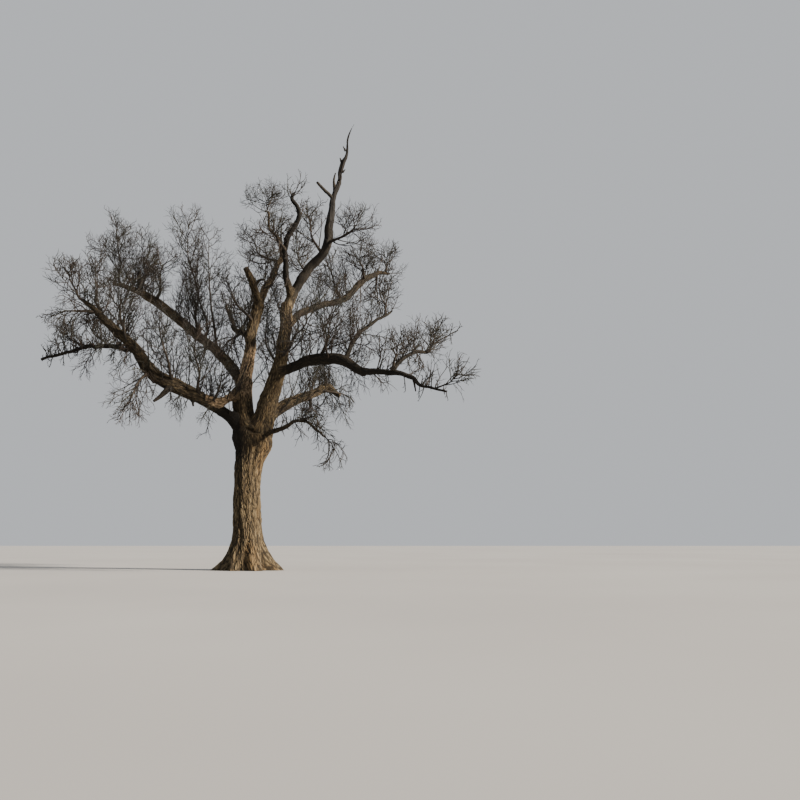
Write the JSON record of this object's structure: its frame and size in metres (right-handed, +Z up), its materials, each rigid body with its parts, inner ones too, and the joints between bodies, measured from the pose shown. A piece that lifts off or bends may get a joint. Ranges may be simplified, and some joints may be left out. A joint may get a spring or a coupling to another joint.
{
  "type": "bare oak tree",
  "caption": "Mature open-grown oak in winter: thick trunk with a flared foot, crooked spreading boughs, a dead spire and a bare crown of fine twigs.",
  "frame": {"origin": "middle of the flat cut under the trunk, at ground level", "axes": "+Z up the trunk; +X to the right in the front view and +Y away from the viewer"},
  "size_m": [20.8898, 14.9123, 22.2607],
  "materials": {
    "bark": "deeply furrowed grey-brown oak bark, ochre where the sun falls",
    "dead_wood": "weathered grey dead wood with little bark left",
    "twigs": "dull grey-brown winter twigs"
  },
  "bodies": {
    "root": {"trunk": "bark", "left_leader": "bark", "right_leader": "bark", "low_left_bough": "bark", "short_right_bough": "bark", "left_stub": "bark", "left_leader_top": "bark", "dead_spire": "dead_wood", "hooked_leader": "bark", "upper_left_bough": "bark", "low_left_bough_end": "bark", "grafted_arm": "bark", "far_left_arm": "bark", "mid_right_bough": "bark", "mid_right_bough_end": "bark", "right_fork_arm": "bark", "inner_right_arm": "bark", "upper_right_bough": "bark", "drooping_bough": "bark", "back_bough": "bark", "left_leader_twigs_1": "twigs", "right_leader_twigs_1": "twigs", "right_leader_twigs_2": "twigs", "low_left_bough_twigs_1": "twigs", "low_left_bough_twigs_2": "twigs", "low_left_bough_twigs_3": "twigs", "short_right_bough_twigs_1": "twigs", "short_right_bough_twigs_2": "twigs", "left_leader_top_twigs_1": "twigs", "left_leader_top_twigs_2": "twigs", "dead_spire_twigs_1": "twigs", "dead_spire_twigs_2": "twigs", "dead_spire_twigs_3": "twigs", "hooked_leader_twigs_1": "twigs", "upper_left_bough_twigs_1": "twigs", "upper_left_bough_twigs_2": "twigs", "upper_left_bough_twigs_3": "twigs", "upper_left_bough_twigs_4": "twigs", "upper_left_bough_twigs_5": "twigs", "low_left_bough_end_twigs_1": "twigs", "low_left_bough_end_twigs_2": "twigs", "low_left_bough_end_twigs_3": "twigs", "low_left_bough_end_twigs_4": "twigs", "low_left_bough_end_twigs_5": "twigs", "far_left_arm_twigs_1": "twigs", "far_left_arm_twigs_2": "twigs", "mid_right_bough_twigs_1": "twigs", "mid_right_bough_end_twigs_1": "twigs", "mid_right_bough_end_twigs_2": "twigs", "right_fork_arm_twigs_1": "twigs", "inner_right_arm_twigs_1": "twigs", "upper_right_bough_twigs_1": "twigs", "upper_right_bough_twigs_2": "twigs", "upper_right_bough_twigs_3": "twigs", "upper_right_bough_twigs_4": "twigs", "drooping_bough_twigs_1": "twigs", "drooping_bough_twigs_2": "twigs", "back_bough_twigs_1": "twigs", "back_bough_twigs_2": "twigs", "back_bough_twigs_3": "twigs"}
  },
  "joints": []
}
